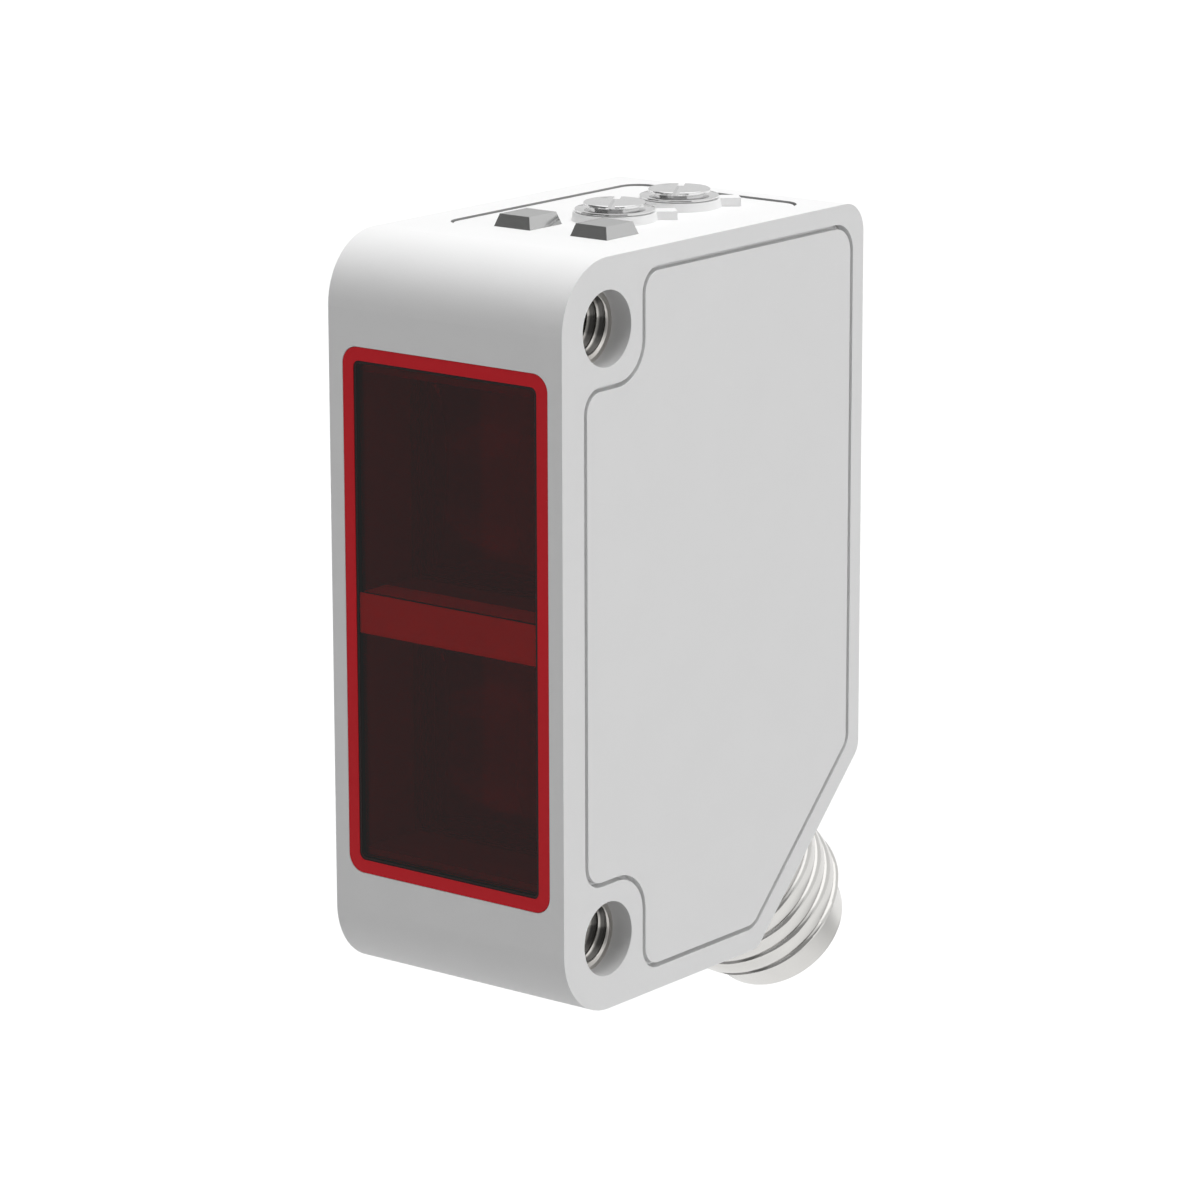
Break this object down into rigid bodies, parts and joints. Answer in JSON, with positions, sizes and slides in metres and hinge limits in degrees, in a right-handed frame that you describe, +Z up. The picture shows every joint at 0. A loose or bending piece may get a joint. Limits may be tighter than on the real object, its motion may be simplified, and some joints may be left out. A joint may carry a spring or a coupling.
{
  "type": "photoelectric sensor",
  "caption": "Slim box-shaped diffuse photoelectric sensor with a dark red front window, a threaded plug at 45 degrees, trimming dials and indicator windows on top.",
  "frame": {"origin": "midway between the axes of the two fixing holes, in the middle of the body's width", "axes": "+X along the fixing holes' axes towards the side cover, -Y out of the optical window, +Z up towards the dials"},
  "size_m": [0.0122, 0.0251, 0.0366],
  "materials": {
    "shell": "satin, fine grain",
    "red_frame": "gloss",
    "filter": "clear, dark red",
    "seal": "matt",
    "black_plastic": "matt",
    "lens": "clear",
    "light_source": "gloss",
    "light_sensor": "gloss",
    "board": "lacquered",
    "chip": "matt",
    "capacitor": "matt",
    "trimmer": "matt",
    "bright_metal": "bright",
    "light_pipe": "translucent",
    "nickel": "nickel plated",
    "gold": "gold plated"
  },
  "bodies": {
    "sensor_body": {"housing": "shell", "side_cover": "shell", "top_cover": "shell", "window_frame": "red_frame", "window_filter": "filter", "window_seal": "seal", "optics_carrier": "black_plastic", "emitter_lens": "lens", "receiver_lens": "lens", "emitter_led": "light_source", "receiver_diode": "light_sensor", "optics_board": "board", "main_board": "board", "signal_chip": "chip", "driver_chip": "chip", "storage_capacitor": "capacitor", "top_board": "board", "sensitivity_trimmer": "trimmer", "mode_trimmer": "trimmer", "indicator_window_left": "light_pipe", "indicator_window_right": "light_pipe", "indicator_led_left": "light_source", "indicator_led_right": "light_source", "upper_sleeve": "nickel", "lower_sleeve": "nickel", "plug_shell": "nickel", "plug_insert": "black_plastic", "plug_pin_1": "gold", "plug_pin_2": "gold", "plug_pin_3": "gold", "plug_pin_4": "gold", "plug_seal": "seal", "plug_ring": "nickel", "plug_board": "board"},
    "sensitivity_knob": {"sensitivity_dial": "bright_metal", "sensitivity_seal": "seal"},
    "mode_knob": {"mode_dial": "bright_metal", "mode_seal": "seal"}
  },
  "joints": [
    {"name": "sensitivity_turn", "type": "hinge", "parent": "sensor_body", "child": "sensitivity_knob", "pos_m": [0.00055, 0.0076, 0.0156], "axis": [0, 0, 1], "range_deg": [-120, 120]},
    {"name": "mode_turn", "type": "hinge", "parent": "sensor_body", "child": "mode_knob", "pos_m": [0.00055, 0.012, 0.0156], "axis": [0, 0, 1], "range_deg": [0, 90]}
  ]
}
